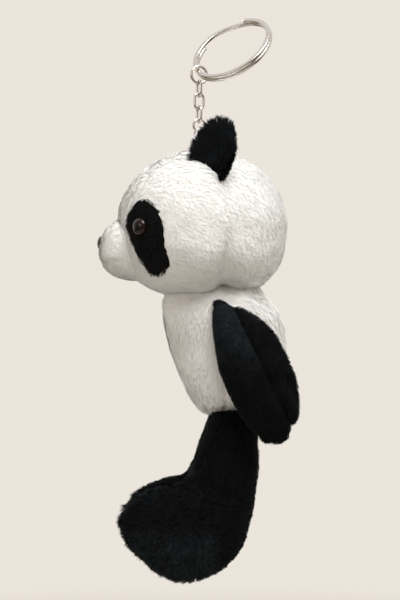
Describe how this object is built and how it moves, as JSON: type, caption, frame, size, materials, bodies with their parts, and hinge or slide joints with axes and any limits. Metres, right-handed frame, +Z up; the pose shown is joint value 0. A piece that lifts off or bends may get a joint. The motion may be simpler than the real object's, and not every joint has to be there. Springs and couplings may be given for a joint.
{
  "type": "plush keychain",
  "caption": "Small stuffed panda with swinging arms and legs, hung by a ribbon loop and a short chain from a split key ring.",
  "frame": {"origin": "middle of the key ring's wire where the chain hangs from it, the point that fingers or a hook hold", "axes": "+Z up, the toy faces -Y and its left side is +X"},
  "size_m": [0.0658, 0.069, 0.1962],
  "materials": {
    "key_ring_steel": "gloss",
    "chain_steel": "gloss",
    "ribbon": "satin",
    "white_plush": "matte",
    "muzzle_plush": "matte",
    "black_plush": "matte",
    "black_felted_plush": "matte",
    "eye_plastic": "polished",
    "nose_plastic": "gloss",
    "washer": "matte",
    "fibre_filling": "matte"
  },
  "bodies": {
    "key_ring": {"key_ring": "key_ring_steel"},
    "connector_ring": {"connector_ring": "chain_steel"},
    "chain_link_1": {"chain_link_1": "chain_steel"},
    "chain_link_2": {"chain_link_2": "chain_steel"},
    "chain_link_3": {"chain_link_3": "chain_steel"},
    "end_ring": {"end_ring": "chain_steel"},
    "head": {"ribbon_loop": "ribbon", "face_panel_left": "white_plush", "face_panel_right": "white_plush", "back_head_panel_left": "white_plush", "back_head_panel_right": "white_plush", "muzzle_top_panel": "muzzle_plush", "muzzle_chin_panel": "muzzle_plush", "eye_patch_left": "black_felted_plush", "eye_patch_right": "black_felted_plush", "eye_left": "eye_plastic", "eye_right": "eye_plastic", "eye_washer_left": "washer", "eye_washer_right": "washer", "nose": "nose_plastic", "nose_washer": "washer", "ear_left_front_panel": "black_plush", "ear_left_back_panel": "black_plush", "ear_right_front_panel": "black_plush", "ear_right_back_panel": "black_plush", "head_stuffing": "fibre_filling"},
    "torso": {"torso_front_panel": "white_plush", "torso_back_panel": "white_plush", "torso_stuffing": "fibre_filling"},
    "arm_left": {"arm_left_front_panel": "black_plush", "arm_left_rear_panel": "black_plush", "arm_left_stuffing": "fibre_filling"},
    "arm_right": {"arm_right_front_panel": "black_plush", "arm_right_rear_panel": "black_plush", "arm_right_stuffing": "fibre_filling"},
    "leg_left": {"leg_left_outer_panel": "black_plush", "leg_left_inner_panel": "black_plush", "leg_left_stuffing": "fibre_filling"},
    "leg_right": {"leg_right_outer_panel": "black_plush", "leg_right_inner_panel": "black_plush", "leg_right_stuffing": "fibre_filling"}
  },
  "joints": [
    {"name": "connector_swing", "type": "hinge", "parent": "key_ring", "child": "connector_ring", "pos_m": [0, 0, 0], "axis": [0.9126, 0.4089, 0], "range_deg": [-20, 20]},
    {"name": "link_1_swing", "type": "hinge", "parent": "connector_ring", "child": "chain_link_1", "pos_m": [0, 0, -0.00372], "axis": [-0.4089, 0.9126, 0], "range_deg": [-20, 20]},
    {"name": "link_2_swing", "type": "hinge", "parent": "chain_link_1", "child": "chain_link_2", "pos_m": [0, 0, -0.00822], "axis": [0.9126, 0.4089, 0], "range_deg": [-20, 20]},
    {"name": "link_3_swing", "type": "hinge", "parent": "chain_link_2", "child": "chain_link_3", "pos_m": [0, 0, -0.01272], "axis": [-0.4089, 0.9126, 0], "range_deg": [-20, 20]},
    {"name": "end_ring_swing", "type": "hinge", "parent": "chain_link_3", "child": "end_ring", "pos_m": [0, 0, -0.01722], "axis": [0.9126, 0.4089, 0], "range_deg": [-20, 20]},
    {"name": "ribbon_swing", "type": "hinge", "parent": "end_ring", "child": "head", "pos_m": [0, 0, -0.02057], "axis": [-0.4089, 0.9126, 0], "range_deg": [-20, 20]},
    {"name": "neck_nod", "type": "hinge", "parent": "head", "child": "torso", "pos_m": [0, 0.006, -0.0789], "axis": [1, 0, 0], "range_deg": [-5, 5], "stiffness_Nm_per_rad": 0.02, "springref_deg": 0.29},
    {"name": "arm_left_swing", "type": "hinge", "parent": "torso", "child": "arm_left", "pos_m": [0.02, 0.008, -0.081], "axis": [1, 0, 0], "range_deg": [-45, 20], "stiffness_Nm_per_rad": 0.003, "springref_deg": 3.21},
    {"name": "arm_right_swing", "type": "hinge", "parent": "torso", "child": "arm_right", "pos_m": [-0.02, 0.008, -0.081], "axis": [1, 0, 0], "range_deg": [-45, 20], "stiffness_Nm_per_rad": 0.003, "springref_deg": 3.21},
    {"name": "leg_left_swing", "type": "hinge", "parent": "torso", "child": "leg_left", "pos_m": [0.011, 0.0115, -0.121], "axis": [1, 0, 0], "range_deg": [-20, 15], "stiffness_Nm_per_rad": 0.006, "springref_deg": -5.31},
    {"name": "leg_right_swing", "type": "hinge", "parent": "torso", "child": "leg_right", "pos_m": [-0.011, 0.0115, -0.121], "axis": [1, 0, 0], "range_deg": [-20, 15], "stiffness_Nm_per_rad": 0.006, "springref_deg": -5.31}
  ]
}
